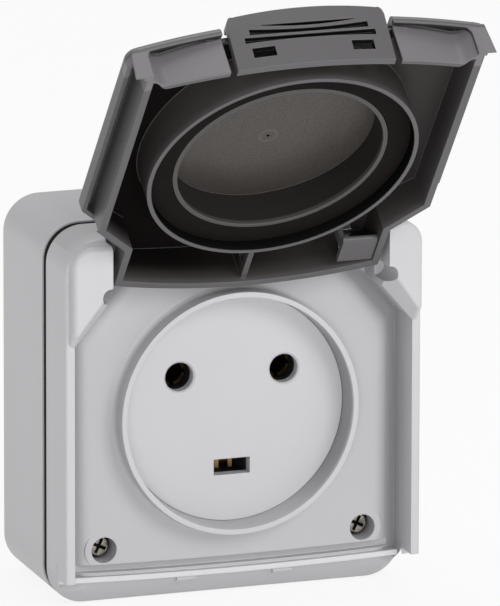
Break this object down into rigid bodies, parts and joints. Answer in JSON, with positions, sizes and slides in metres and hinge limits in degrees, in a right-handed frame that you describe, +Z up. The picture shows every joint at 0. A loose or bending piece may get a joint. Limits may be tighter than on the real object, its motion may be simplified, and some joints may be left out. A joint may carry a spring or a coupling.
{
  "type": "outdoor weatherproof socket",
  "caption": "Surface-mounted weatherproof wall socket with round pin holes, a rectangular earth slot and a hinged dark lid with a latch, shown open.",
  "frame": {"origin": "on the wall plane at the back of the box, behind the centre of the socket well", "axes": "+X to the right seen from the front, -Y out of the wall towards the user, +Z up"},
  "size_m": [0.1, 0.115, 0.1736],
  "materials": {
    "light_grey_plastic": "fine satin, light grey",
    "dark_grey_plastic": "fine satin, charcoal grey",
    "black_rubber": "matt black",
    "zinc_steel": "zinc plated",
    "spring_steel": "plain",
    "contact_brass": "plain"
  },
  "bodies": {
    "body": {"back_box": "light_grey_plastic", "box_gasket": "black_rubber", "front_cover": "light_grey_plastic", "cover_screws": "zinc_steel", "screw_seals": "black_rubber", "socket_face": "light_grey_plastic", "face_seal": "black_rubber", "contact_base": "dark_grey_plastic", "live_contact": "contact_brass", "neutral_contact": "contact_brass", "earth_contact": "contact_brass", "live_terminal": "contact_brass", "neutral_terminal": "contact_brass", "earth_terminal": "contact_brass", "terminal_screws": "zinc_steel", "base_screws": "zinc_steel", "cable_grommet": "black_rubber", "hinge_pins": "zinc_steel"},
    "lid": {"lid": "dark_grey_plastic", "lid_seal": "black_rubber", "friction_clip": "spring_steel", "spring_cover": "dark_grey_plastic", "latch_pin": "zinc_steel", "latch_spring": "spring_steel"},
    "latch": {"latch": "dark_grey_plastic"}
  },
  "joints": [
    {"name": "lid_hinge", "type": "hinge", "parent": "body", "child": "lid", "pos_m": [0, -0.05545, 0.0442], "axis": [-1, 0, 0], "range_deg": [-141, 4]},
    {"name": "latch_pivot", "type": "hinge", "parent": "lid", "child": "latch", "pos_m": [0, -0.10459, 0.11481], "axis": [-1, 0, 0], "range_deg": [0, 20], "stiffness_Nm_per_rad": 0.15, "springref_deg": -5.73, "deforming": ["latch_spring"]}
  ]
}
